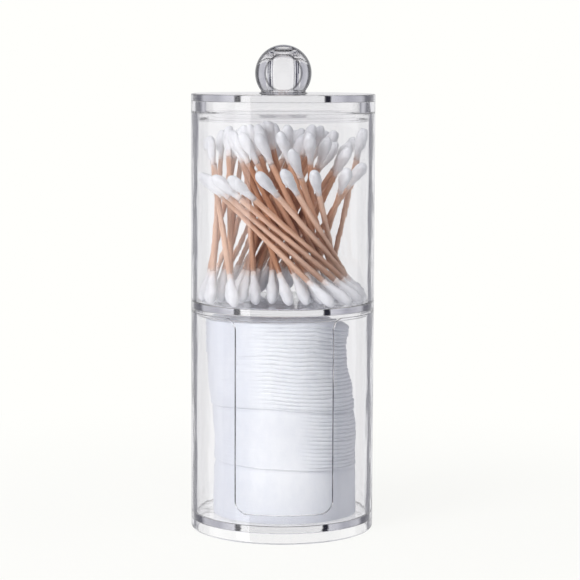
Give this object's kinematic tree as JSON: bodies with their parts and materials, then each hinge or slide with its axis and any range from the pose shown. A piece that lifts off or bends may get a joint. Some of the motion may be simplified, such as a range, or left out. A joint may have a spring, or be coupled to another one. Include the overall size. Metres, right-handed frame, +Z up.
{
  "type": "cotton swab and pad holder",
  "caption": "Clear round two-tier bathroom holder: cotton pads stand in the slotted lower cup, swabs in the nesting upper cup, under a lid with a ball knob.",
  "frame": {"origin": "bottom centre, on the surface that the lower cup stands on", "axes": "+Z up along the axis of both cups; the front slot faces -Y; +X is to the right seen from the front"},
  "size_m": [0.072, 0.072, 0.1904],
  "materials": {
    "clear_plastic": "clear moulded plastic, polished on both sides",
    "birch": "bare turned birch",
    "cotton": "soft white cotton, wound on the swabs and pressed in the pads"
  },
  "bodies": {
    "lower_cup": {"lower_cup": "clear_plastic", "cotton_pad_1": "cotton", "cotton_pad_2": "cotton", "cotton_pad_3": "cotton", "cotton_pad_4": "cotton", "cotton_pad_5": "cotton", "cotton_pad_6": "cotton", "cotton_pad_7": "cotton", "cotton_pad_8": "cotton", "cotton_pad_9": "cotton", "cotton_pad_10": "cotton", "cotton_pad_11": "cotton", "cotton_pad_12": "cotton", "cotton_pad_13": "cotton", "cotton_pad_14": "cotton", "cotton_pad_15": "cotton", "cotton_pad_16": "cotton", "cotton_pad_17": "cotton", "cotton_pad_18": "cotton", "cotton_pad_19": "cotton", "cotton_pad_20": "cotton", "cotton_pad_21": "cotton", "cotton_pad_22": "cotton", "cotton_pad_23": "cotton", "cotton_pad_24": "cotton", "cotton_pad_25": "cotton", "cotton_pad_26": "cotton", "cotton_pad_27": "cotton", "cotton_pad_28": "cotton", "cotton_pad_29": "cotton", "cotton_pad_30": "cotton", "cotton_pad_31": "cotton", "cotton_pad_32": "cotton", "cotton_pad_33": "cotton", "cotton_pad_34": "cotton", "cotton_pad_35": "cotton", "cotton_pad_36": "cotton", "cotton_pad_37": "cotton", "cotton_pad_38": "cotton", "cotton_pad_39": "cotton", "cotton_pad_40": "cotton", "cotton_pad_41": "cotton", "cotton_pad_42": "cotton", "cotton_pad_43": "cotton", "cotton_pad_44": "cotton", "cotton_pad_45": "cotton", "cotton_pad_46": "cotton", "cotton_pad_47": "cotton", "cotton_pad_48": "cotton", "cotton_pad_49": "cotton", "cotton_pad_50": "cotton"},
    "upper_cup": {"upper_cup": "clear_plastic", "swab_sticks_outer": "birch", "swab_sticks_middle": "birch", "swab_sticks_inner": "birch", "swab_heads_outer": "cotton", "swab_heads_middle": "cotton", "swab_heads_inner": "cotton"},
    "lid": {"lid": "clear_plastic", "knob": "clear_plastic"}
  },
  "joints": [
    {"name": "upper_cup_lift", "type": "slide", "parent": "lower_cup", "child": "upper_cup", "axis": [0, 0, 1], "range_m": [0, 0.04]},
    {"name": "lid_lift", "type": "slide", "parent": "upper_cup", "child": "lid", "axis": [0, 0, 1], "range_m": [0, 0.04]}
  ]
}
